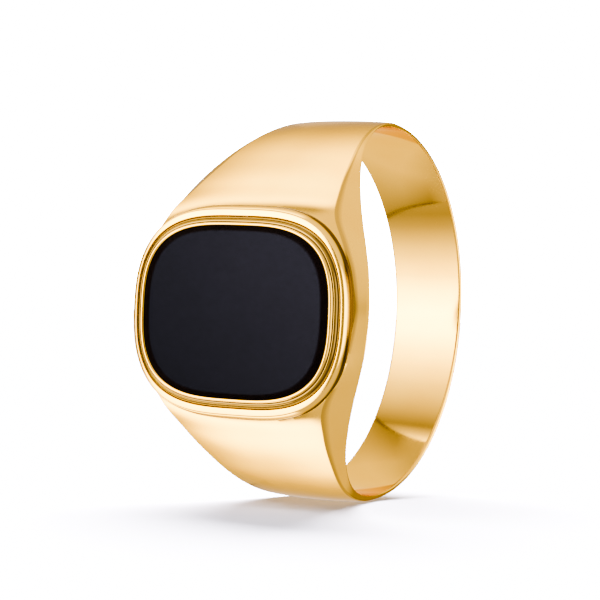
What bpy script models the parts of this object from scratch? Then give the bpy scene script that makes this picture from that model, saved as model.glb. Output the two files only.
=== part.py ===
"""A man's signet ring: a tapering gold band, a moulded bezel and a flat cushion-shaped black stone.

The finger hole's axis is X and its centre is the origin. The stone faces -Y and the ring stands on its
band, with +Z up. Angles go round the finger from the head (-Y), positive towards +Z. A height is a
distance from the origin along -Y. The values below are in millimetres.
"""

import bmesh
import bpy
import numpy as np

MM = 0.001

# Finger hole and band
BORE_RADIUS = 10.0
BORE_COMFORT = 0.03
STATION_ANGLE = [0, 10, 18, 25, 35, 50, 65, 80, 100, 140, 180]
BORE_HALF_WIDTH = [7.06, 6.87, 6.46, 5.97, 5.24, 4.20, 3.36, 2.72, 2.33, 2.12, 2.09]
EDGE_HALF_WIDTH = [6.42, 6.20, 5.66, 4.92, 4.31, 3.67, 3.11, 2.68, 2.27, 2.15, 2.09]
EDGE_RADIUS = [10.42, 10.70, 11.16, 11.44, 10.95, 10.48, 10.35, 10.26, 10.22, 10.23, 10.26]
CROWN = [1.50, 1.40, 0.85, 0.60, 0.44, 0.28, 0.18, 0.11, 0.07, 0.06, 0.08]
CROWN_POWER = 2.6
BORE_FILING = 0.15
EDGE_FILING = 0.10
SHOULDER_DROP = 0.27
BAND_SECTIONS = 144
BORE_COLUMNS = 4
BAND_COLUMNS = 12

# Head: heights of the flat that carries the bezel, and of the setting that stands in it
HEAD_DROP = 0.23
SHOULDER_TOP = 10.85
PLATFORM = 10.75
DRUM_BASE = 10.05
POCKET_FLOOR = 10.33
PLATE_THICKNESS = 0.25
BED_THICKNESS = 0.05
GIRDLE = 11.51
STONE_TOP = 11.65
JOINT_GAP = 0.02

# Cushion outlines, as half-lengths along X and Z
STONE_X = 5.49
STONE_Z = 4.42
STONE_BEVEL_X = 0.40
STONE_BEVEL_Z = 0.27
FRAME_X = 6.33
FRAME_Z = 5.46
CUSHION_POWER_X = 3.25
STONE_POWER_Z = 2.8
FRAME_POWER_Z = 2.35
OUTLINE_POINTS = 96
SHARP_ANGLE = np.radians(20)

# Bezel profiles: (share of the way from the stone's edge to the frame's edge, height above the platform)
COLLAR_PROFILE = [
    (0.50, 0.02), (0.50, 0.44), (0.56, 0.52), (0.66, 0.54), (0.78, 0.48), (0.89, 0.35), (0.97, 0.18), (1.00, 0.02),
]
RIM_PROFILE = [
    (0.03, 0.02), (0.03, 0.755), (-0.03, 0.80), (0.00, 0.84), (0.09, 0.86), (0.17, 0.82), (0.20, 0.72),
    (0.25, 0.72), (0.31, 0.68), (0.34, 0.58), (0.42, 0.56), (0.47, 0.45), (0.47, 0.02),
]

GOLD = (0.83, 0.55, 0.22, 1.0)
GOLD_PALE = (0.86, 0.60, 0.27, 1.0)
CEMENT = (0.16, 0.15, 0.14, 1.0)
ONYX = (0.012, 0.011, 0.016, 1.0)


def clear_scene():
    for old in list(bpy.data.objects):
        bpy.data.objects.remove(old, do_unlink=True)


def material(name, color, roughness, metallic):
    made = bpy.data.materials.new(name)
    made.use_nodes = True
    shader = made.node_tree.nodes["Principled BSDF"]
    shader.inputs["Base Color"].default_value = color
    shader.inputs["Roughness"].default_value = roughness
    shader.inputs["Metallic"].default_value = metallic
    return made


def mesh_object(name, points, faces, finish=None):
    """One object from points in millimetres, with its faces turned outwards."""
    mesh = bpy.data.meshes.new(name)
    mesh.from_pydata([tuple(MM * value for value in point) for point in points], [], faces)
    shape = bmesh.new()
    shape.from_mesh(mesh)
    bmesh.ops.recalc_face_normals(shape, faces=shape.faces[:])
    shape.to_mesh(mesh)
    shape.free()
    mesh.shade_smooth()
    mesh.set_sharp_from_angle(angle=SHARP_ANGLE)
    made = bpy.data.objects.new(name, mesh)
    bpy.context.scene.collection.objects.link(made)
    if finish:
        mesh.materials.append(finish)
    return made


def along_band(values, angle):
    """A smooth monotone curve through one value per station, mirrored about the head."""
    stations = np.radians(STATION_ANGLE)
    steps = np.diff(stations)
    slopes = np.diff(values) / steps
    tangents = np.zeros(len(values))
    for i in range(1, len(values) - 1):
        if slopes[i - 1] * slopes[i] > 0:
            before = 2 * steps[i] + steps[i - 1]
            after = steps[i] + 2 * steps[i - 1]
            tangents[i] = (before + after) / (before / slopes[i - 1] + after / slopes[i])
    place = abs(angle)
    i = min(int(np.searchsorted(stations, place, side="right")) - 1, len(steps) - 1)
    t = (place - stations[i]) / steps[i]
    start = (1 + 2 * t) * (1 - t) ** 2 * values[i] + t * (1 - t) ** 2 * steps[i] * tangents[i]
    end = t * t * (3 - 2 * t) * values[i + 1] + t * t * (t - 1) * steps[i] * tangents[i + 1]
    return start + end


def band_section(angle):
    """The band's outline at one angle, as (x, radius) points: bore, side, outer face, other side.

    The hand-filed upper half is slightly wider than the lower, and the shoulders meet a head that sits
    slightly low.
    """
    bore = along_band(BORE_HALF_WIDTH, angle) + BORE_FILING * np.sin(angle)
    edge = along_band(EDGE_HALF_WIDTH, angle) + EDGE_FILING * np.sin(angle)
    radius = along_band(EDGE_RADIUS, angle)
    crown = along_band(CROWN, angle)
    flat = np.inf
    if abs(angle) < np.pi / 2:
        radius -= SHOULDER_DROP * np.sin(2 * angle)
        flat = SHOULDER_TOP / np.cos(angle)
    points = []
    for share in np.linspace(-1, 1, BORE_COLUMNS + 1):
        points.append((bore * share, BORE_RADIUS - BORE_COMFORT * (1 - share ** 2)))
    for share in np.linspace(1, -1, BAND_COLUMNS + 1):
        domed = radius + crown * (1 - abs(share) ** CROWN_POWER)
        points.append((edge * share, min(domed, flat)))
    return points


def cushion(half_x, half_z, power_z):
    """A cushion-shaped outline in the XZ plane, round the head's centre. A lower power is rounder."""
    turn = np.linspace(0, 2 * np.pi, OUTLINE_POINTS, endpoint=False)
    across = np.cos(turn)
    upward = np.sin(turn)
    x = half_x * np.sign(across) * abs(across) ** (2 / CUSHION_POWER_X)
    z = half_z * np.sign(upward) * abs(upward) ** (2 / power_z)
    return np.stack([x, z - HEAD_DROP], axis=-1)


def stacked_solid(name, layers, power_z, finish=None):
    """A closed solid from cushion outlines at several heights: (half X, half Z, height)."""
    points = []
    faces = []
    count = OUTLINE_POINTS
    for half_x, half_z, height in layers:
        points += [(x, -height, z) for x, z in cushion(half_x, half_z, power_z)]
    for level in range(len(layers) - 1):
        for i in range(count):
            j = (i + 1) % count
            low = level * count
            faces.append((low + i, low + j, low + count + j, low + count + i))
    faces.append(tuple(range(count)))
    faces.append(tuple(range((len(layers) - 1) * count, len(layers) * count)))
    return mesh_object(name, points, faces, finish)


def moulding(name, profile, finish):
    """A closed frame that carries one profile round the stone."""
    points = []
    faces = []
    count = OUTLINE_POINTS
    for share, height in profile:
        half_x = STONE_X + share * (FRAME_X - STONE_X)
        half_z = STONE_Z + share * (FRAME_Z - STONE_Z)
        power_z = STONE_POWER_Z + share * (FRAME_POWER_Z - STONE_POWER_Z)
        points += [(x, -PLATFORM - height, z) for x, z in cushion(half_x, half_z, power_z)]
    for level in range(len(profile)):
        above = (level + 1) % len(profile)
        for i in range(count):
            j = (i + 1) % count
            faces.append((level * count + i, level * count + j, above * count + j, above * count + i))
    return mesh_object(name, points, faces, finish)


def combine(target, tool, operation):
    tool.hide_render = True
    tool.display_type = "WIRE"
    modifier = target.modifiers.new(tool.name, "BOOLEAN")
    modifier.operation = operation
    modifier.solver = "EXACT"
    modifier.object = tool


def build_shank(finish):
    """The band and shoulders, with a flat for the bezel and a pocket for the stone's seat."""
    angles = np.linspace(-np.pi, np.pi, BAND_SECTIONS, endpoint=False)
    points = []
    faces = []
    for angle in angles:
        for x, radius in band_section(angle):
            points.append((x, -radius * np.cos(angle), radius * np.sin(angle)))
    count = len(points) // BAND_SECTIONS
    for i in range(BAND_SECTIONS):
        j = (i + 1) % BAND_SECTIONS
        for k in range(count):
            m = (k + 1) % count
            faces.append((i * count + k, i * count + m, j * count + m, j * count + k))
    shank = mesh_object("shank", points, faces, finish)
    drum = [(FRAME_X, FRAME_Z, DRUM_BASE), (FRAME_X, FRAME_Z, PLATFORM + 0.5)]
    flat = [(FRAME_X + 1, FRAME_Z + 1, PLATFORM), (FRAME_X + 1, FRAME_Z + 1, PLATFORM + 3)]
    pocket_x = STONE_X + JOINT_GAP
    pocket_z = STONE_Z + JOINT_GAP
    pocket = [(pocket_x, pocket_z, POCKET_FLOOR), (pocket_x, pocket_z, PLATFORM + 1)]
    combine(shank, stacked_solid("tool_drum", drum, FRAME_POWER_Z), "UNION")
    combine(shank, stacked_solid("tool_flat", flat, FRAME_POWER_Z), "DIFFERENCE")
    combine(shank, stacked_solid("tool_pocket", pocket, STONE_POWER_Z), "DIFFERENCE")
    return shank


def build_seat(plate_finish, bed_finish):
    """The bearing plate in the pocket and the cement bed on it. Returns the bed's upper height."""
    base = POCKET_FLOOR + JOINT_GAP
    plate_top = base + PLATE_THICKNESS
    plate = [(STONE_X, STONE_Z, base), (STONE_X, STONE_Z, plate_top)]
    stacked_solid("seat_plate", plate, STONE_POWER_Z, plate_finish)
    bed_base = plate_top + JOINT_GAP
    bed_top = bed_base + BED_THICKNESS
    bed = [(STONE_X, STONE_Z, bed_base), (STONE_X, STONE_Z, bed_top)]
    stacked_solid("stone_bed", bed, STONE_POWER_Z, bed_finish)
    return bed_top


def build_stone(bed_top, finish):
    """The stone: an upright edge, a shallow bevel and a flat table."""
    table_x = STONE_X - STONE_BEVEL_X
    table_z = STONE_Z - STONE_BEVEL_Z
    layers = [
        (STONE_X, STONE_Z, bed_top + JOINT_GAP),
        (STONE_X, STONE_Z, GIRDLE),
        (table_x, table_z, STONE_TOP),
    ]
    stacked_solid("onyx_stone", layers, STONE_POWER_Z, finish)


def main():
    clear_scene()
    gold = material("gold", GOLD, 0.22, 1.0)
    pale_gold = material("bezel_gold", GOLD_PALE, 0.15, 1.0)
    cement = material("cement", CEMENT, 0.8, 0.0)
    onyx = material("onyx", ONYX, 0.08, 0.0)
    build_shank(gold)
    moulding("bezel_collar", COLLAR_PROFILE, pale_gold)
    moulding("bezel_rim", RIM_PROFILE, pale_gold)
    bed_top = build_seat(gold, cement)
    build_stone(bed_top, onyx)


main()
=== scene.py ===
"""Looks for the signet ring: polished gold, a moulded bezel and a black cushion-shaped stone.

The frame's axes are the CAD's: the finger hole runs along X, the stone faces -Y and the ring stands on
its band with +Z up. Angles go round the finger from the head (-Y), positive towards +Z. Sizes are in
millimetres unless a comment says otherwise.
"""

import bmesh
import bpy
import numpy as np
from mathutils import Matrix, Vector


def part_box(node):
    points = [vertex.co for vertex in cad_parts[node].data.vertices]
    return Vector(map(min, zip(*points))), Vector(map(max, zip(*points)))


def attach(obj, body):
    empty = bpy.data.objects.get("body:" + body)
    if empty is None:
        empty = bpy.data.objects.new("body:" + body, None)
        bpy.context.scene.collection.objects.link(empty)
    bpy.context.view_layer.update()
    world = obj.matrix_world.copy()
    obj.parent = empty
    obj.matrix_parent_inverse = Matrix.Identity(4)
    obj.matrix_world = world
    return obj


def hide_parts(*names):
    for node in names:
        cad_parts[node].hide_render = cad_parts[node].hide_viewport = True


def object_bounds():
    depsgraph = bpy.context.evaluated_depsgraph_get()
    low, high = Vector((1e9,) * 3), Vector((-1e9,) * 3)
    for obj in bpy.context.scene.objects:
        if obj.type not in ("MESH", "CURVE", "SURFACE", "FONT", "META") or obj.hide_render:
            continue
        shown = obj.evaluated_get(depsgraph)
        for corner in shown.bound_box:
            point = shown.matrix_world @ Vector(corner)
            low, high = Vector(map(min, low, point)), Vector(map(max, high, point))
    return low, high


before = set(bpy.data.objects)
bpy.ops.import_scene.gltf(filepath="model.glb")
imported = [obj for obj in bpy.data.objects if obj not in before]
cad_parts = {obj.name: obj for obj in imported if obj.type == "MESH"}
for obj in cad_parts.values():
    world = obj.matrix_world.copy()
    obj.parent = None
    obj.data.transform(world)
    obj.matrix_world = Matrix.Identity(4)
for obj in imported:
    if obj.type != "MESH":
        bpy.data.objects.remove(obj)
cad_low, cad_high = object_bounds()

MM = 0.001
BLACK = (0.0, 0.0, 0.0)
WHITE = (1.0, 1.0, 1.0)

# Finger hole and band, as in the CAD: half-widths, radii and crowns at stations round the band, in degrees
BORE_RADIUS = 10.0
BORE_COMFORT = 0.03
STATION_ANGLE = [0, 10, 18, 25, 35, 50, 65, 80, 100, 140, 180]
BORE_HALF_WIDTH = [7.06, 6.87, 6.46, 5.97, 5.24, 4.20, 3.36, 2.72, 2.33, 2.12, 2.09]
EDGE_HALF_WIDTH = [6.42, 6.20, 5.66, 4.92, 4.31, 3.67, 3.11, 2.68, 2.27, 2.15, 2.09]
EDGE_RADIUS = [10.42, 10.70, 11.16, 11.44, 10.95, 10.48, 10.35, 10.26, 10.22, 10.23, 10.26]
CROWN = [1.50, 1.40, 0.85, 0.60, 0.44, 0.28, 0.18, 0.11, 0.07, 0.06, 0.08]
CROWN_POWER = 2.6
BORE_FILING = 0.15          # the bore's half-width is this much larger at the top, and smaller at the bottom
EDGE_FILING = 0.10          # the same for the outer edge
SHOULDER_DROP = 0.27        # the upper shoulder's radius is smaller by up to this, and the lower one's larger
BAND_SECTIONS = 480
SMOOTHING = 1.6             # degrees of blur that turn the stations into one flowing shape
BORE_EDGE_ROUND = 0.14
OUTER_EDGE_ROUND = 0.07
EDGE_PAINTED_REFLECTION = 0.45           # painted dark reflection line along the band's outer edges: how far the gold goes to the painted shade colour there
BORE_FINISH = -0.09         # roughness added in the bore, which is polished like a mirror
SIDE_FINISH = 0.04          # roughness added on the sides, which are left satin

# Head: sizes are read from the frame, and heights run from the finger's axis towards -Y
JOINT_GAP = 0.02
STONE_LOW, STONE_HIGH = (Vector(corner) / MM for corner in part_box("onyx_stone"))
COLLAR_LOW, COLLAR_HIGH = (Vector(corner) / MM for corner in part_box("bezel_collar"))
STONE_X = (STONE_HIGH.x - STONE_LOW.x) / 2
STONE_Z = (STONE_HIGH.z - STONE_LOW.z) / 2
STONE_TOP = -STONE_LOW.y
STONE_BASE = -STONE_HIGH.y
FRAME_X = (COLLAR_HIGH.x - COLLAR_LOW.x) / 2
FRAME_Z = (COLLAR_HIGH.z - COLLAR_LOW.z) / 2
HEAD_Z = (COLLAR_HIGH.z + COLLAR_LOW.z) / 2
PLATFORM = -COLLAR_HIGH.y - JOINT_GAP
PLATFORM_BLEND = 0.06       # softness of the line where the shoulders run into the flat
PLATFORM_END = 0.2          # least cosine used for the flat, which is far outside the band from there on
DRUM_BASE = PLATFORM - 0.70
DRUM_CHAMFER = 0.03
POCKET_FLOOR = PLATFORM - 0.42
POCKET_TOP = PLATFORM + 1.0

# Cushion outlines. A lower power is rounder
CUSHION_POWER_X = 3.25
STONE_POWER_Z = 2.8
FRAME_POWER_Z = 2.35
OUTLINE_POINTS = 288
SHARP_ANGLE = np.radians(32)

# Stone
BEVEL_WIDTH = 0.40
BEVEL_HEIGHT = 0.14
BEVEL_Z_SHARE = 0.7         # the bevel is narrower above and below than at the sides
BEVEL_EDGE_ROUND = 0.03
TABLE_EDGE_ROUND = 0.07
BEVEL_PAINTED_REFLECTION_SHARE = 0.9           # painted reflection of the gold on the bevel: how far its colour goes to the brown bevel tone

# Bezel: share of the way from the stone's edge to the frame's edge, height over the platform, and depth of
# painted shade, which darkens the gold in the grooves and creases
COLLAR_PROFILE = [
    (0.44, 0.02, 1), (0.44, 0.45, 0.8), (0.455, 0.54, 0.2), (0.49, 0.568, 0), (0.53, 0.568, 0),
    (0.72, 0.551, 0), (0.77, 0.544, 0), (0.83, 0.50, 0), (0.90, 0.37, 0), (0.955, 0.24, 0.2),
    (0.965, 0.16, 1), (0.975, 0.08, 1), (1.00, 0.04, 1), (1.00, 0.02, 1),
]
RIM_PROFILE = [
    (0.03, 0.02, 1), (0.03, 0.755, 1), (-0.03, 0.80, 0.6), (0.00, 0.84, 0), (0.07, 0.86, 0),
    (0.12, 0.82, 0.1), (0.15, 0.73, 1), (0.18, 0.71, 1), (0.23, 0.71, 0.6), (0.29, 0.67, 0.8),
    (0.32, 0.60, 1), (0.34, 0.58, 1), (0.38, 0.57, 0.5), (0.42, 0.53, 0.5), (0.435, 0.46, 0.8),
    (0.435, 0.02, 1),
]
PROFILE_ROUNDS = 3          # how often the corners of a profile are cut, which turns them into curves
SIDE_SQUEEZE = 0.8          # pushes the bezel's steps outwards beside the stone, which narrows the outer ones

# Finishes. A pair of colours drifts over the surface from one to the other. Scales are noise cells per metre
BAND_GOLD = ((0.84, 0.46, 0.075, 1.0), (0.88, 0.50, 0.09, 1.0))
BAND_ROUGHNESS = 0.16
BEZEL_GOLD = ((0.85, 0.47, 0.08, 1.0), (0.89, 0.52, 0.10, 1.0))
BEZEL_ROUGHNESS = 0.10
# painted shade: the dark gold of grooves, creases, the band's outer edges and the drum's wall
PAINTED_SHADE_GOLD = (0.10, 0.062, 0.022, 1.0)
DULL_ROUGHNESS = 0.28
MIRRORED_GOLD = (0.80, 0.70, 0.52, 1.0)     # gold seen in gold: a second full tint would turn it orange
GOLD_GLANCE = (1.0, 0.80, 0.50, 1.0)        # tint of the gold's reflections at a glancing angle
TONE_SCALE = 220.0
POLISH_SCALE = 9000.0
WEAR_SCALE = 500.0
POLISH_BUMP = 0.012
POLISH_DEPTH = 0.00002      # in metres
ROUGHNESS_WEAR = (-0.035, 0.045)            # how far wear takes the roughness down and up
LINE_STRETCH = 0.05         # the polishing lines are drawn out round the finger by one over this
# the stone's dark tone, and the lighter one that the painted sheen and the clouds move it towards
ONYX_TONES = ((0.0034, 0.0033, 0.0050, 1.0), (0.0118, 0.0112, 0.0142, 1.0))
ONYX_PAINTED_SHEEN = ((1.0, 0.0, 0.8), -0.008, 0.006)   # painted sheen, standing in for the studio's reflection across the stone: direction, and where it begins and ends in metres
ONYX_CLOUD_SCALE = 260.0
ONYX_CLOUDS = 0.05          # how far the clouds move the drift to either side
ONYX_MARK_SCALE = 6000.0
ONYX_ROUGHNESS = (0.10, 0.17)
ONYX_IOR = 1.53
ONYX_GLOSS = 0.020          # low, so that the bright studio doesn't turn the stone grey
# painted reflection of the gold, a dark brown on the stone's bevel
BEVEL_PAINTED_REFLECTION_TONE = (0.0050, 0.0026, 0.0014, 1.0)
CEMENT_TONES = ((0.12, 0.11, 0.10, 1.0), (0.2, 0.19, 0.17, 1.0))
CEMENT_SCALE = 4000.0
CEMENT_ROUGHNESS = (0.7, 0.9)

# Camera, in the CAD's frame: where the photograph was taken from
CAMERA_AZIMUTH = 29.99
CAMERA_ELEVATION = 0.58
CAMERA_ROLL = 2.32
CAMERA_DISTANCE = 135.52
CAMERA_SIDE = (-2.507, 0.755)               # how far it is moved to its right and upwards
CAMERA_PIVOT = (0.0, 0.1936, -0.2323)       # the point that it turns round
CAMERA_CLIP = (0.005, 10.0)                 # nearest and farthest that it sees, in metres
LENS = 148.35
SENSOR = 36.0

# Studio brightness round the finger's axis: degrees from straight ahead (-Y), positive upwards
STUDIO_ROUND = [
    (-180, 0.75), (-156, 0.75), (-144, 0.8), (-132, 1.05), (-120, 2.1), (-109, 5.5), (-96, 7.5),
    (-84, 5.0), (-78, 0.7), (-66, 0.55), (-57, 0.8), (-48, 1.36), (-36, 2.4), (-24, 4.0), (-12, 7.0),
    (0, 9.0), (12, 8.0), (24, 5.2), (36, 3.3), (48, 2.1), (60, 1.4), (72, 0.75), (78, 0.48), (84, 1.4),
    (90, 3.7), (97, 5.0), (108, 4.0), (120, 2.2), (132, 1.3), (144, 0.8), (156, 0.6), (180, 0.5),
]
SIDE_EDGE = (-0.22, -0.10)  # share towards +X where the even light of the right-hand side begins and is full
SIDE_LOW = 0.9
SIDE_HIGH = 1.4
# Dim strips near the level: share towards +X where each begins, is full, begins to end and has ended
DIM_STRIPS = [(-1.01, -1.00, -0.74, -0.62), (-0.38, -0.28, 0.56, 0.62)]
DIM_HEIGHT = (0.45, 0.25)   # share upwards or downwards where the strips begin and are full
DIM_LEVEL = 0.4
# A soft glow: direction, angle where it starts, angle where it is full, strength
GLOW = ((0.93, 0.37, 0.0), 32, 20, 4.0)

# A plain card beside the ring, which shows in the back of the band. Its front edge leans
CARD_X = -8.0
CARD_Z = (-17.0, 16.0)
CARD_FRONT = 4.5            # Y at the height of the finger hole's centre
CARD_BACK = 30.0
CARD_LEAN = 0.16
CARD_FADE = (4.9, 10.5)     # Y behind the lean where the card's light starts to rise, and is full
CARD_LEVEL = (0.55, 1.3)
CARD_BORDER = (4.7, 4.9)    # Y behind the lean where the dark border ends and the card is clear of it
CARD_BORDER_LEVEL = 0.25
CARD_MIDDLE = -2.0          # Z from which the next two pairs of distances are taken
CARD_ENDS = (10.0, 13.0)    # where the fade and the border begin to stop, and have stopped
CARD_DIM = (5.0, 13.0)      # where the card begins to dim, and is dim
CARD_DIM_LEVEL = 0.6

# Floor, dome and lights
STAGE_REACH = 0.6           # in metres
FLOOR_GLOW = 0.2
FLOOR_TONE = (0.44, 0.42, 0.49)
DOME_GLOW = 12.0
# Each light: name, direction it comes from, strength, spread in degrees
LIGHTS = [
    ("back_light", (-0.36, 0.60, 0.72), 42.0, 48.0),
    ("front_light", (-0.45, -0.55, 0.70), 6.0, 30.0),
]


# ---------------------------------------------------------------------------- meshes

def mesh_object(name, points, faces, finish):
    """One closed object from points in millimetres."""
    mesh = bpy.data.meshes.new(name)
    mesh.from_pydata([tuple(MM * value for value in point) for point in points], [], faces)
    shape = bmesh.new()
    shape.from_mesh(mesh)
    bmesh.ops.recalc_face_normals(shape, faces=shape.faces[:])
    shape.to_mesh(mesh)
    shape.free()
    mesh.shade_smooth()
    mesh.set_sharp_from_angle(angle=SHARP_ANGLE)
    made = bpy.data.objects.new(name, mesh)
    bpy.context.scene.collection.objects.link(made)
    mesh.materials.append(finish)
    return made


def note(piece, name, values):
    """Keeps one number per point for the material to read."""
    piece.data.attributes.new(name, "FLOAT", "POINT").data.foreach_set("value", values)


def loop_faces(rings, count, closed):
    """Quads between rings of points. A closed loft joins its last ring to its first."""
    faces = []
    for ring in range(rings if closed else rings - 1):
        above = (ring + 1) % rings
        for i in range(count):
            j = (i + 1) % count
            faces.append((ring * count + i, ring * count + j, above * count + j, above * count + i))
    return faces


def along_band(values, angle):
    """A smooth monotone curve through one value per station, mirrored about the head."""
    stations = np.radians(STATION_ANGLE)
    steps = np.diff(stations)
    slopes = np.diff(values) / steps
    tangents = np.zeros(len(values))
    for i in range(1, len(values) - 1):
        if slopes[i - 1] * slopes[i] > 0:
            before = 2 * steps[i] + steps[i - 1]
            after = steps[i] + 2 * steps[i - 1]
            tangents[i] = (before + after) / (before / slopes[i - 1] + after / slopes[i])
    place = abs(angle)
    i = min(int(np.searchsorted(stations, place, side="right")) - 1, len(steps) - 1)
    t = (place - stations[i]) / steps[i]
    start = (1 + 2 * t) * (1 - t) ** 2 * values[i] + t * (1 - t) ** 2 * steps[i] * tangents[i]
    end = t * t * (3 - 2 * t) * values[i + 1] + t * t * (t - 1) * steps[i] * tangents[i + 1]
    return start + end


def flowing(values, angles):
    """The station values at every angle, blurred a little so that reflections run without a kink."""
    raw = np.array([along_band(values, angle) for angle in angles])
    step = np.degrees(angles[1] - angles[0])
    reach = int(np.ceil(3 * SMOOTHING / step))
    weights = np.exp(-0.5 * (np.arange(-reach, reach + 1) * step / SMOOTHING) ** 2)
    padded = np.concatenate([raw[-reach:], raw, raw[:reach]])
    return np.convolve(padded, weights / weights.sum(), mode="valid")


def rounded_corner(before, corner, after, radius, steps):
    """Points along a curve that cuts the corner, starting and ending at the radius from it."""
    before, corner, after = (np.array(point) for point in (before, corner, after))
    start = corner + (before - corner) / np.linalg.norm(before - corner) * radius
    end = corner + (after - corner) / np.linalg.norm(after - corner) * radius
    points = []
    for t in np.linspace(0, 1, steps + 1):
        points.append((1 - t) ** 2 * start + 2 * t * (1 - t) * corner + t * t * end)
    return points


def soft_minimum(value, limit, softness):
    """The lower of two values, with the line where they meet rounded over."""
    return (value + limit - np.sqrt((value - limit) ** 2 + softness ** 2)) / 2


def half_section(angle, bore, edge, radius, crown):
    """Half the band's outline at one angle, from the bore's middle to the top's.

    Each point is (x, radius, depth of painted shade, added roughness).
    """
    flat = PLATFORM / max(np.cos(angle), PLATFORM_END)

    def bore_point(share):
        return bore * share, BORE_RADIUS - BORE_COMFORT * (1 - share ** 2)

    def top_point(share):
        domed = radius + crown * (1 - share ** CROWN_POWER)
        return edge * share, soft_minimum(domed, flat, PLATFORM_BLEND)

    bore_edge = bore_point(1.0)
    outer_edge = top_point(1.0)
    first = rounded_corner(bore_point(0.97), bore_edge, outer_edge, BORE_EDGE_ROUND, 8)
    second = rounded_corner(bore_edge, outer_edge, top_point(0.985), OUTER_EDGE_ROUND, 6)
    side = [first[-1] + (second[0] - first[-1]) * share for share in np.linspace(0, 1, 6)[1:-1]]
    points = [(*bore_point(share), 0, BORE_FINISH) for share in np.linspace(0, 0.95, 9)]
    points += [(*point, 0, 0) for point in first]
    points += [(*point, 0, SIDE_FINISH) for point in side]
    points += [(*point, EDGE_PAINTED_REFLECTION, 0) for point in second]
    points += [(*top_point(share), 0, 0) for share in np.linspace(0.97, 0, 30) ** 0.8]
    return points


def build_band(finish):
    """The band and shoulders as one loft round the finger."""
    angles = np.linspace(-np.pi, np.pi, BAND_SECTIONS, endpoint=False)
    bores = flowing(BORE_HALF_WIDTH, angles) + BORE_FILING * np.sin(angles)
    edges = flowing(EDGE_HALF_WIDTH, angles) + EDGE_FILING * np.sin(angles)
    drop = np.where(abs(angles) < np.pi / 2, SHOULDER_DROP * np.sin(2 * angles), 0)
    radii = flowing(EDGE_RADIUS, angles) - drop
    crowns = flowing(CROWN, angles)
    points = []
    painted_shade_and_reflection_levels = []
    finishes = []
    for angle, bore, edge, radius, crown in zip(angles, bores, edges, radii, crowns):
        half = half_section(angle, bore, edge, radius, crown)
        outline = half + [(-x, *rest) for x, *rest in half[-2:0:-1]]
        for x, far, painted_shade_and_reflection, added in outline:
            points.append((x, -far * np.cos(angle), far * np.sin(angle)))
            painted_shade_and_reflection_levels.append(painted_shade_and_reflection)
            finishes.append(added)
    count = len(points) // BAND_SECTIONS
    band = mesh_object("ring_shank", points, loop_faces(BAND_SECTIONS, count, True), finish)
    note(band, "painted_shade_and_reflection", painted_shade_and_reflection_levels)
    note(band, "added_roughness", finishes)
    return band


def cushion(half_x, half_z, power_z):
    """A cushion-shaped outline in the XZ plane, round the head's centre."""
    turn = np.linspace(0, 2 * np.pi, OUTLINE_POINTS, endpoint=False)
    across = np.cos(turn)
    upward = np.sin(turn)
    x = half_x * np.sign(across) * abs(across) ** (2 / CUSHION_POWER_X)
    z = half_z * np.sign(upward) * abs(upward) ** (2 / power_z)
    return np.stack([x, z + HEAD_Z], axis=-1)


def stacked_solid(name, layers, power_z, finish):
    """A closed solid from cushion outlines at several heights: (half X, half Z, height)."""
    points = []
    for half_x, half_z, height in layers:
        points += [(x, -height, z) for x, z in cushion(half_x, half_z, power_z)]
    faces = loop_faces(len(layers), OUTLINE_POINTS, False)
    faces.append(tuple(range(OUTLINE_POINTS)))
    faces.append(tuple(range((len(layers) - 1) * OUTLINE_POINTS, len(layers) * OUTLINE_POINTS)))
    return mesh_object(name, points, faces, finish)


def softened(profile):
    """A closed profile with its corners cut again and again."""
    points = [np.array(point) for point in profile]
    for _ in range(PROFILE_ROUNDS):
        cut = []
        for i, point in enumerate(points):
            following = points[(i + 1) % len(points)]
            cut += [0.75 * point + 0.25 * following, 0.25 * point + 0.75 * following]
        points = cut
    return points


def moulding(name, profile, finish):
    """A closed frame that carries one profile round the stone. Its attribute darkens the grooves with painted
    shade.
    """
    points = []
    painted_shade_and_reflection_levels = []
    for share, height, painted_shade_and_reflection in profile:
        outward = share + SIDE_SQUEEZE * share * (1 - share)
        half_x = STONE_X + outward * (FRAME_X - STONE_X)
        half_z = STONE_Z + share * (FRAME_Z - STONE_Z)
        power_z = STONE_POWER_Z + share * (FRAME_POWER_Z - STONE_POWER_Z)
        points += [(x, -PLATFORM - height, z) for x, z in cushion(half_x, half_z, power_z)]
        painted_shade_and_reflection_levels += [painted_shade_and_reflection] * OUTLINE_POINTS
    made = mesh_object(name, points, loop_faces(len(profile), OUTLINE_POINTS, True), finish)
    note(made, "painted_shade_and_reflection", painted_shade_and_reflection_levels)
    return made


def cut_with(target, tool, operation):
    """Applies one boolean and removes the tool. New faces keep the tool's finish."""
    modifier = target.modifiers.new(tool.name, "BOOLEAN")
    modifier.operation = operation
    modifier.solver = "EXACT"
    modifier.material_mode = "TRANSFER"
    modifier.object = tool
    depsgraph = bpy.context.evaluated_depsgraph_get()
    result = bpy.data.meshes.new_from_object(target.evaluated_get(depsgraph))
    target.modifiers.clear()
    target.data = result
    bpy.data.objects.remove(tool, do_unlink=True)


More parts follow.
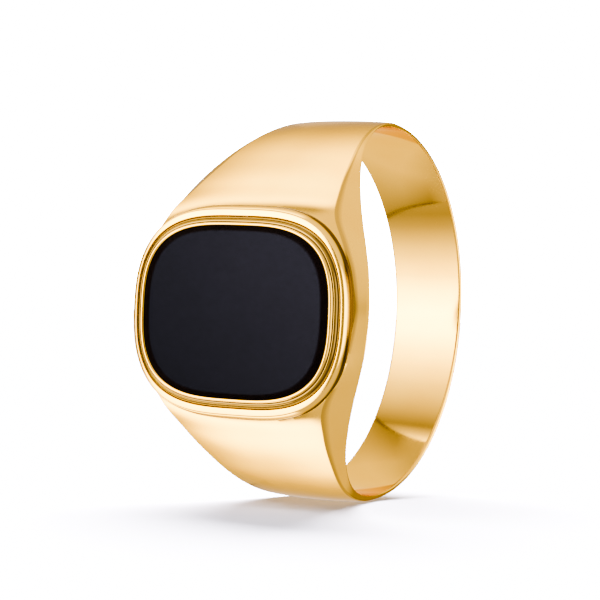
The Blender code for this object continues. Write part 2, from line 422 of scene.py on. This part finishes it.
def build_shank(finish, drum_painted_shade_finish):
    """The band with the drum that carries the bezel, and the pocket under the stone.

    The drum's wall is rougher than the band, and its gold is painted dark all over as shade under the bezel.
    """
    shank = build_band(finish)
    drum = [(FRAME_X, FRAME_Z, height) for height in np.linspace(DRUM_BASE, PLATFORM - DRUM_CHAMFER, 6)]
    drum.append((FRAME_X - DRUM_CHAMFER, FRAME_Z - DRUM_CHAMFER, PLATFORM))
    pocket_x = STONE_X + JOINT_GAP
    pocket_z = STONE_Z + JOINT_GAP
    pocket = [(pocket_x, pocket_z, POCKET_FLOOR), (pocket_x, pocket_z, POCKET_TOP)]
    cut_with(shank, stacked_solid("tool_drum", drum, FRAME_POWER_Z, drum_painted_shade_finish), "UNION")
    cut_with(shank, stacked_solid("tool_pocket", pocket, STONE_POWER_Z, finish), "DIFFERENCE")
    shank.data.shade_smooth()
    shank.data.set_sharp_from_angle(angle=SHARP_ANGLE)
    return shank


def build_stone(finish):
    """The stone: an upright edge, a shallow bevel with softened edges and a flat table."""
    base, outer, inner, middle = (0, STONE_TOP), (0, BEVEL_HEIGHT), (BEVEL_WIDTH, 0), (STONE_X, 0)
    edge = rounded_corner(base, outer, inner, BEVEL_EDGE_ROUND, 4)
    shoulder = rounded_corner(outer, inner, middle, TABLE_EDGE_ROUND, 6)
    layers = [(STONE_X, STONE_Z, STONE_BASE)]
    for inset, depth in edge + shoulder:
        layers.append((STONE_X - inset, STONE_Z - inset * BEVEL_Z_SHARE, STONE_TOP - depth))
    stone = stacked_solid("onyx_cabochon", layers, STONE_POWER_Z, finish)
    # painted reflection of the gold: full on the upright edge and the bevel, fading out over the rounded edge
    # into the table
    bevel_painted_reflection = [BEVEL_PAINTED_REFLECTION_SHARE] * (1 + len(edge)) + list(np.linspace(BEVEL_PAINTED_REFLECTION_SHARE, 0, len(shoulder)))
    note(stone, "painted_shade_and_reflection", np.repeat(bevel_painted_reflection, OUTLINE_POINTS))
    return stone


# ---------------------------------------------------------------------------- materials

class Nodes:
    """A short way to add and join the nodes of one material or world."""

    def __init__(self, tree):
        self.tree = tree

    def add(self, kind, inputs=None, **settings):
        node = self.tree.nodes.new(kind)
        for name, value in settings.items():
            setattr(node, name, value)
        for key, value in (inputs or {}).items():
            self.feed(node.inputs[key], value)
        return node

    def feed(self, socket, value):
        if isinstance(value, bpy.types.NodeSocket):
            self.tree.links.new(value, socket)
        else:
            socket.default_value = value

    def math(self, operation, first, second=0.0):
        return self.add("ShaderNodeMath", {0: first, 1: second}, operation=operation).outputs[0]

    def noise(self, vector, scale, detail, roughness=0.5):
        inputs = {"Vector": vector, "Scale": scale, "Detail": detail, "Roughness": roughness}
        return self.add("ShaderNodeTexNoise", inputs).outputs["Fac"]

    def ranged(self, value, low, high, to_low, to_high, smooth=False):
        inputs = {0: value, 1: low, 2: high, 3: to_low, 4: to_high}
        kind = "SMOOTHSTEP" if smooth else "LINEAR"
        return self.add("ShaderNodeMapRange", inputs, interpolation_type=kind).outputs[0]

    def level_mix(self, share, first, second):
        kept = self.math("MULTIPLY", first, self.math("SUBTRACT", 1.0, share))
        return self.math("ADD", kept, self.math("MULTIPLY", second, share))

    def blend(self, share, first, second):
        node = self.add("ShaderNodeMix", data_type="RGBA")
        self.feed(node.inputs[0], share)
        self.feed(node.inputs[6], first)
        self.feed(node.inputs[7], second)
        return node.outputs[2]


def new_material(name):
    """A material, a way to add its nodes, its shader, and the place on the object in metres."""
    made = bpy.data.materials.new(name)
    made.use_nodes = True
    nodes = Nodes(made.node_tree)
    shader = made.node_tree.nodes["Principled BSDF"]
    place = nodes.add("ShaderNodeTexCoord").outputs["Object"]
    return made, nodes, shader, place


def round_the_band(nodes, place):
    """Coordinates that unroll the band, so that polishing lines run round the finger."""
    split = nodes.add("ShaderNodeSeparateXYZ", {0: place})
    ahead = nodes.math("MULTIPLY", split.outputs["Y"], -1.0)
    angle = nodes.math("ARCTAN2", split.outputs["Z"], ahead)
    turned = nodes.math("MULTIPLY", angle, BORE_RADIUS * MM * LINE_STRETCH)
    parts = {"X": split.outputs["X"], "Y": turned, "Z": 0.0}
    return nodes.add("ShaderNodeCombineXYZ", parts).outputs[0]


def gold(name, tones, roughness, lines):
    """Polished gold: a warm tone that drifts a little, faint polishing lines and fine wear.

    The tone is paler where the gold is seen in a reflection. Seen directly, it's the same from every side.
    """
    made, nodes, shader, place = new_material(name)
    drift = nodes.ranged(nodes.noise(place, TONE_SCALE, 3.0), 0.35, 0.65, 0.0, 1.0)
    painted_shade_and_reflection = nodes.add("ShaderNodeAttribute", attribute_name="painted_shade_and_reflection").outputs["Fac"]
    mirrored = nodes.add("ShaderNodeLightPath").outputs["Is Glossy Ray"]
    polished = nodes.blend(mirrored, nodes.blend(drift, *tones), MIRRORED_GOLD)
    # painted shade and painted dark reflection: the attribute takes the gold to the dark shade colour in
    # grooves, creases and along the band's outer edges
    nodes.feed(shader.inputs["Base Color"], nodes.blend(painted_shade_and_reflection, polished, PAINTED_SHADE_GOLD))
    shader.inputs["Metallic"].default_value = 1.0
    shader.inputs["Specular Tint"].default_value = GOLD_GLANCE
    unrolled = round_the_band(nodes, place) if lines else place
    polish = nodes.noise(unrolled, POLISH_SCALE, 4.0, 0.6)
    clouds = nodes.noise(place, WEAR_SCALE, 4.0)
    wear = nodes.math("ADD", nodes.math("MULTIPLY", polish, 0.5), nodes.math("MULTIPLY", clouds, 0.5))
    least, most = (roughness + change for change in ROUGHNESS_WEAR)
    rough = nodes.ranged(wear, 0.3, 0.7, least, most)
    added = nodes.add("ShaderNodeAttribute", attribute_name="added_roughness").outputs["Fac"]
    nodes.feed(shader.inputs["Roughness"], nodes.math("ADD", rough, added))
    bump = {"Strength": POLISH_BUMP, "Distance": POLISH_DEPTH, "Height": polish}
    nodes.feed(shader.inputs["Normal"], nodes.add("ShaderNodeBump", bump).outputs[0])
    return made


def onyx(name):
    """Black onyx: a deep blue-black with the faintest clouds and hairline polishing marks, a painted sheen
    that lightens it along one direction, and a painted reflection of the gold on its bevel.
    """
    made, nodes, shader, place = new_material(name)
    clouds = nodes.noise(place, ONYX_CLOUD_SCALE, 4.0)
    shift = nodes.ranged(clouds, 0.3, 0.7, -ONYX_CLOUDS, ONYX_CLOUDS)
    # painted sheen: the stone gets lighter towards +X and +Z, standing in for the studio's reflection
    direction, begins, ends = ONYX_PAINTED_SHEEN
    across = nodes.add("ShaderNodeVectorMath", {0: place, 1: direction}, operation="DOT_PRODUCT")
    drift = nodes.ranged(across.outputs["Value"], begins, ends, 0.0, 1.0)
    colour = nodes.blend(nodes.math("ADD", drift, shift), *ONYX_TONES)
    painted_shade_and_reflection = nodes.add("ShaderNodeAttribute", attribute_name="painted_shade_and_reflection").outputs["Fac"]
    # painted reflection of the gold on the bevel, brown-black, by the attribute
    nodes.feed(shader.inputs["Base Color"], nodes.blend(painted_shade_and_reflection, colour, BEVEL_PAINTED_REFLECTION_TONE))
    shader.inputs["IOR"].default_value = ONYX_IOR
    shader.inputs["Specular IOR Level"].default_value = ONYX_GLOSS
    marks = nodes.noise(place, ONYX_MARK_SCALE, 5.0, 0.7)
    nodes.feed(shader.inputs["Roughness"], nodes.ranged(marks, 0.3, 0.7, *ONYX_ROUGHNESS))
    return made


def cement(name):
    """The dark, grainy cement under the stone."""
    made, nodes, shader, place = new_material(name)
    grain = nodes.noise(place, CEMENT_SCALE, 4.0)
    nodes.feed(shader.inputs["Base Color"], nodes.blend(grain, *CEMENT_TONES))
    nodes.feed(shader.inputs["Roughness"], nodes.ranged(grain, 0.0, 1.0, *CEMENT_ROUGHNESS))
    return made


# ---------------------------------------------------------------------------- studio

def build_world():
    """The studio: brightness by angle round the finger's axis.

    It levels out towards +X, and has dim strips and a soft glow.
    """
    world = bpy.data.worlds.new("studio")
    bpy.context.scene.world = world
    world.use_nodes = True
    nodes = Nodes(world.node_tree)
    toward = nodes.add("ShaderNodeTexCoord").outputs["Generated"]
    split = nodes.add("ShaderNodeSeparateXYZ", {0: toward})
    ahead = nodes.math("MULTIPLY", split.outputs["Y"], -1.0)
    angle = nodes.math("ARCTAN2", split.outputs["Z"], ahead)
    ramp = nodes.add("ShaderNodeValToRGB", {0: nodes.ranged(angle, -np.pi, np.pi, 0.0, 1.0)})
    brightest = max(level for _, level in STUDIO_ROUND)
    elements = ramp.color_ramp.elements
    while len(elements) < len(STUDIO_ROUND):
        elements.new(1.0)
    for element, (degrees, level) in zip(elements, STUDIO_ROUND):
        element.position = (degrees + 180) / 360
        element.color = (level / brightest, level / brightest, level / brightest, 1.0)
    round_light = nodes.math("MULTIPLY", ramp.outputs["Color"], brightest)
    side_level = nodes.ranged(split.outputs["Z"], -1.0, 1.0, SIDE_LOW, SIDE_HIGH)
    sideways = nodes.ranged(split.outputs["X"], *SIDE_EDGE, 0.0, 1.0, True)
    total = nodes.level_mix(sideways, round_light, side_level)
    near_level = nodes.ranged(nodes.math("ABSOLUTE", split.outputs["Z"]), *DIM_HEIGHT, 0.0, 1.0, True)
    for begins, full, fades, ended in DIM_STRIPS:
        rising = nodes.ranged(split.outputs["X"], begins, full, 0.0, 1.0, True)
        falling = nodes.ranged(split.outputs["X"], fades, ended, 1.0, 0.0, True)
        strip = nodes.math("MULTIPLY", nodes.math("MULTIPLY", rising, falling), near_level)
        total = nodes.level_mix(strip, total, DIM_LEVEL)
    direction, outer, inner, strength = GLOW
    aim = Vector(direction).normalized()
    facing = nodes.add("ShaderNodeVectorMath", {0: toward, 1: aim}, operation="DOT_PRODUCT").outputs["Value"]
    starts, full = (np.cos(np.radians(angle)) for angle in (outer, inner))
    total = nodes.math("ADD", total, nodes.ranged(facing, starts, full, 0.0, strength, True))
    background = world.node_tree.nodes["Background"]
    nodes.feed(background.inputs["Strength"], total)
    background.inputs["Color"].default_value = (*WHITE, 1.0)
    world.cycles_visibility.diffuse = False


def white_stage(name, mesh, glow, tone):
    """A plain stage object that glows white. Reflections don't see it, unless that is changed later."""
    made = bpy.data.objects.new(name, mesh)
    bpy.context.scene.collection.objects.link(made)
    finish = bpy.data.materials.new(name)
    finish.use_nodes = True
    shader = finish.node_tree.nodes["Principled BSDF"]
    shader.inputs["Base Color"].default_value = (*tone, 1.0)
    shader.inputs["Roughness"].default_value = 1.0
    shader.inputs["Specular IOR Level"].default_value = 0.0
    shader.inputs["Emission Color"].default_value = (*WHITE, 1.0)
    shader.inputs["Emission Strength"].default_value = glow
    mesh.materials.append(finish)
    made.visible_glossy = False
    return made


def build_stage():
    """A pale floor under the band, inside a plain white dome."""
    floor_mesh = bpy.data.meshes.new("floor")
    corners = [(x * STAGE_REACH, y * STAGE_REACH, cad_low.z) for x, y in ((-1, -1), (1, -1), (1, 1), (-1, 1))]
    floor_mesh.from_pydata(corners, [], [(0, 1, 2, 3)])
    white_stage("floor", floor_mesh, FLOOR_GLOW, FLOOR_TONE)
    dome_mesh = bpy.data.meshes.new("dome")
    shape = bmesh.new()
    bmesh.ops.create_uvsphere(shape, u_segments=48, v_segments=24, radius=STAGE_REACH)
    shape.to_mesh(dome_mesh)
    shape.free()
    dome = white_stage("dome", dome_mesh, DOME_GLOW, BLACK)
    dome.visible_diffuse = False
    dome.visible_shadow = False
    dome.visible_transmission = False


def build_lights():
    """Soft lights, which throw the shadows on the floor. Reflections don't see them."""
    for name, direction, strength, spread in LIGHTS:
        lamp = bpy.data.lights.new(name, "SUN")
        lamp.energy = strength
        lamp.angle = np.radians(spread)
        light = bpy.data.objects.new(name, lamp)
        bpy.context.scene.collection.objects.link(light)
        light.rotation_euler = Vector(direction).to_track_quat("Z", "Y").to_euler()
        light.visible_glossy = False


def build_card():
    """A plain lit card beside the ring, which only reflections see."""
    mesh = bpy.data.meshes.new("card")
    low, high = CARD_Z
    below, above = (CARD_FRONT + CARD_LEAN * height for height in CARD_Z)
    corners = [(below, low), (CARD_BACK, low), (CARD_BACK, high), (above, high)]
    mesh.from_pydata([(CARD_X * MM, y * MM, z * MM) for y, z in corners], [], [(0, 1, 2, 3)])
    card = white_stage("card", mesh, 0.0, BLACK)
    nodes = Nodes(mesh.materials[0].node_tree)

    def between(value, distances, first, second):
        return nodes.ranged(value, *(distance * MM for distance in distances), first, second)

    split = nodes.add("ShaderNodeSeparateXYZ", {0: nodes.add("ShaderNodeTexCoord").outputs["Object"]})
    leaning = nodes.math("MULTIPLY", split.outputs["Z"], CARD_LEAN)
    behind = nodes.math("SUBTRACT", split.outputs["Y"], leaning)
    from_middle = nodes.math("ABSOLUTE", nodes.math("SUBTRACT", split.outputs["Z"], CARD_MIDDLE * MM))
    front = between(from_middle, CARD_ENDS, *CARD_LEVEL)
    level = between(behind, CARD_FADE, front, CARD_LEVEL[1])
    dim = between(from_middle, CARD_DIM, 1.0, CARD_DIM_LEVEL)
    line = between(from_middle, CARD_ENDS, CARD_BORDER_LEVEL, 1.0)
    border = between(behind, CARD_BORDER, line, 1.0)
    glow = nodes.math("MULTIPLY", nodes.math("MULTIPLY", level, dim), border)
    nodes.feed(nodes.tree.nodes["Principled BSDF"].inputs["Emission Strength"], glow)
    card.visible_glossy = True
    card.visible_camera = False
    card.visible_diffuse = False
    card.visible_shadow = False


def build_camera():
    """The camera, turned by its azimuth, elevation and roll, and then moved back and sideways."""
    azimuth = np.radians(CAMERA_AZIMUTH)
    elevation = np.radians(CAMERA_ELEVATION)
    roll = np.radians(CAMERA_ROLL)
    outward = np.cos(elevation)
    back = Vector((np.sin(azimuth) * outward, -np.cos(azimuth) * outward, np.sin(elevation)))
    level = Vector((np.cos(azimuth), np.sin(azimuth), 0.0))
    above = back.cross(level)
    right = level * np.cos(roll) + above * np.sin(roll)
    up = above * np.cos(roll) - level * np.sin(roll)
    place = back * CAMERA_DISTANCE + right * CAMERA_SIDE[0] + up * CAMERA_SIDE[1] + Vector(CAMERA_PIVOT)
    lens = bpy.data.cameras.new("camera")
    lens.lens = LENS
    lens.sensor_width = SENSOR
    lens.clip_start, lens.clip_end = CAMERA_CLIP
    camera = bpy.data.objects.new("camera", lens)
    bpy.context.scene.collection.objects.link(camera)
    turn = Matrix((right, up, back)).transposed().to_4x4()
    camera.matrix_world = Matrix.Translation(place * MM) @ turn
    bpy.context.scene.camera = camera


# ---------------------------------------------------------------------------- assembly

def stand_for(piece, node):
    """Puts a visible piece in its CAD node's place."""
    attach(piece, "root")
    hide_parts(node)


def main():
    """Builds the visible pieces, finishes the hidden ones, and sets up the studio."""
    band_gold = gold("band_gold", BAND_GOLD, BAND_ROUGHNESS, True)
    bezel_gold = gold("bezel_gold", BEZEL_GOLD, BEZEL_ROUGHNESS, False)
    stone_finish = onyx("onyx")
    # the drum's wall: painted shade under the bezel in dark gold all over, and a rougher finish
    drum_painted_shade_gold = gold("drum_painted_shade_gold", (PAINTED_SHADE_GOLD, PAINTED_SHADE_GOLD), DULL_ROUGHNESS, False)
    stand_for(build_shank(band_gold, drum_painted_shade_gold), "shank")
    stand_for(moulding("collar", softened(COLLAR_PROFILE), bezel_gold), "bezel_collar")
    stand_for(moulding("rim", softened(RIM_PROFILE), bezel_gold), "bezel_rim")
    stand_for(build_stone(stone_finish), "onyx_stone")
    for node, finish in (("seat_plate", band_gold), ("stone_bed", cement("cement"))):
        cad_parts[node].data.materials.clear()
        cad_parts[node].data.materials.append(finish)
    build_world()
    build_stage()
    build_lights()
    build_card()
    build_camera()
    bpy.context.scene.view_settings.view_transform = "AgX"
    bpy.context.scene.view_settings.look = "AgX - High Contrast"


main()
